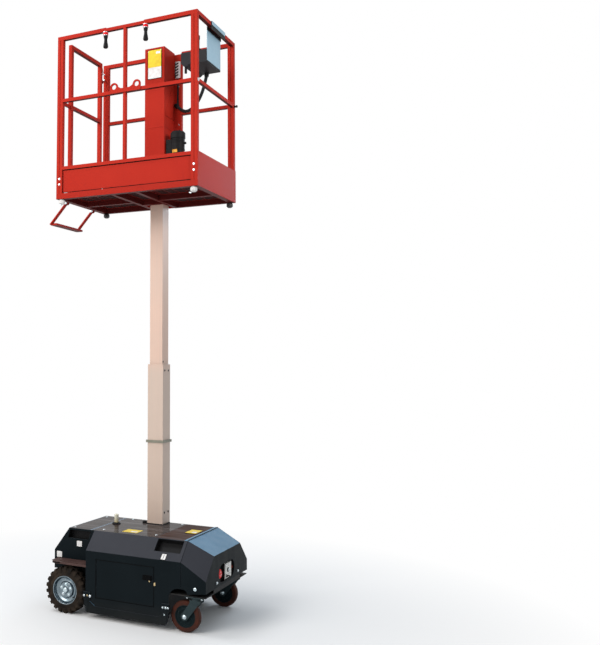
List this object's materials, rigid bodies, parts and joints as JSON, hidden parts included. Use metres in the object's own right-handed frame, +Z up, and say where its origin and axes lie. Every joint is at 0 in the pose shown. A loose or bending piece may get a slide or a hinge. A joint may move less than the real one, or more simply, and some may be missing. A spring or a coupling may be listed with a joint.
{
  "type": "vertical mast lift",
  "caption": "Small self-propelled work platform: railed basket on a telescopic vertical mast over a low chassis with drive wheels and swivel castors.",
  "frame": {"origin": "on the floor, under the middle of the part's bounding box", "axes": "+X towards the castor end, +Y to the left side, +Z up along the mast"},
  "size_m": [1.2909, 0.78, 4.067],
  "materials": {
    "battery": "matt",
    "beacon": "gloss",
    "black_paint": "satin",
    "black_plastic": "matt",
    "black_rubber": "matt",
    "castor_hub": "satin",
    "castor_tread": "satin",
    "collar": "satin",
    "deck_paint": "gloss",
    "graphite_paint": "satin",
    "grey_plastic": "satin",
    "mast_paint": "satin",
    "red_paint": "gloss",
    "red_plastic": "gloss",
    "tyre": "matt",
    "white_plastic": "gloss",
    "white_rubber": "matt",
    "zinc": "bright"
  },
  "bodies": {
    "chassis": {"chassis_frame": "black_paint", "side_covers": "graphite_paint", "hand_pockets": "black_plastic", "deck_cover": "deck_paint", "nose_cover": "graphite_paint", "tail_cover": "graphite_paint", "battery_block": "battery", "fender_shelves": "deck_paint", "pothole_guards": "graphite_paint", "deck_beacon": "beacon", "ground_controls": "black_plastic", "stop_button": "red_plastic", "nose_plate": "white_plastic", "drive_units": "black_paint", "castor_mounts": "zinc", "mast_outer": "mast_paint", "mast_collar": "collar"},
    "service_door_right": {"service_door_right": "graphite_paint"},
    "service_door_left": {"service_door_left": "graphite_paint"},
    "drive_wheel_right": {"drive_tyre_right": "tyre", "drive_rim_right": "zinc"},
    "drive_wheel_left": {"drive_tyre_left": "tyre", "drive_rim_left": "zinc"},
    "castor_fork_right": {"castor_fork_right": "zinc"},
    "castor_fork_left": {"castor_fork_left": "zinc"},
    "castor_wheel_right": {"castor_tyre_right": "castor_tread", "castor_hub_right": "castor_hub"},
    "castor_wheel_left": {"castor_tyre_left": "castor_tread", "castor_hub_left": "castor_hub"},
    "mast_middle": {"mast_middle": "mast_paint"},
    "basket": {"mast_inner": "mast_paint", "basket_frame": "red_paint", "basket_feet": "white_rubber", "guard_right": "red_paint", "guard_left": "red_paint", "guard_ends": "red_paint", "toe_boards": "red_paint", "mast_housing": "red_paint", "harness_plate": "red_paint", "rail_grips": "black_plastic", "control_box": "grey_plastic", "control_bracket": "zinc", "console_fittings": "black_plastic", "power_pack": "black_plastic", "control_cable": "black_rubber", "step_frame": "red_paint"},
    "gate": {"gate_frame": "red_paint", "gate_latch": "zinc"}
  },
  "joints": [
    {"name": "mast_middle_slide", "type": "slide", "parent": "chassis", "child": "mast_middle", "axis": [0, 0, 1], "range_m": [-1.11, 0]},
    {"name": "basket_slide", "type": "slide", "parent": "mast_middle", "child": "basket", "axis": [0, 0, 1], "range_m": [-1.11, 0]},
    {"name": "gate_hinge", "type": "hinge", "parent": "basket", "child": "gate", "pos_m": [-0.488, -0.343, 3.6], "axis": [0, 0, -1], "range_deg": [0, 85]},
    {"name": "door_hinge_right", "type": "hinge", "parent": "chassis", "child": "service_door_right", "pos_m": [-0.148, -0.38, 0.265], "axis": [0, 0, -1], "range_deg": [0, 110]},
    {"name": "door_hinge_left", "type": "hinge", "parent": "chassis", "child": "service_door_left", "pos_m": [-0.148, 0.38, 0.265], "axis": [0, 0, 1], "range_deg": [0, 110]},
    {"name": "drive_spin_right", "type": "hinge", "parent": "chassis", "child": "drive_wheel_right", "pos_m": [-0.399, -0.34, 0.156], "axis": [0, 1, 0], "continuous": true},
    {"name": "castor_swivel_right", "type": "hinge", "parent": "chassis", "child": "castor_fork_right", "pos_m": [0.562, -0.329, 0.21], "axis": [0, 0, 1], "continuous": true},
    {"name": "castor_spin_right", "type": "hinge", "parent": "castor_fork_right", "child": "castor_wheel_right", "pos_m": [0.489, -0.329, 0.1], "axis": [0, 1, 0], "continuous": true},
    {"name": "drive_spin_left", "type": "hinge", "parent": "chassis", "child": "drive_wheel_left", "pos_m": [-0.399, 0.34, 0.156], "axis": [0, 1, 0], "continuous": true},
    {"name": "castor_swivel_left", "type": "hinge", "parent": "chassis", "child": "castor_fork_left", "pos_m": [0.562, 0.329, 0.21], "axis": [0, 0, 1], "continuous": true},
    {"name": "castor_spin_left", "type": "hinge", "parent": "castor_fork_left", "child": "castor_wheel_left", "pos_m": [0.489, 0.329, 0.1], "axis": [0, 1, 0], "continuous": true}
  ],
  "couplings": [
    {"joint": "mast_middle_slide", "follows": "basket_slide", "ratio": 1}
  ]
}
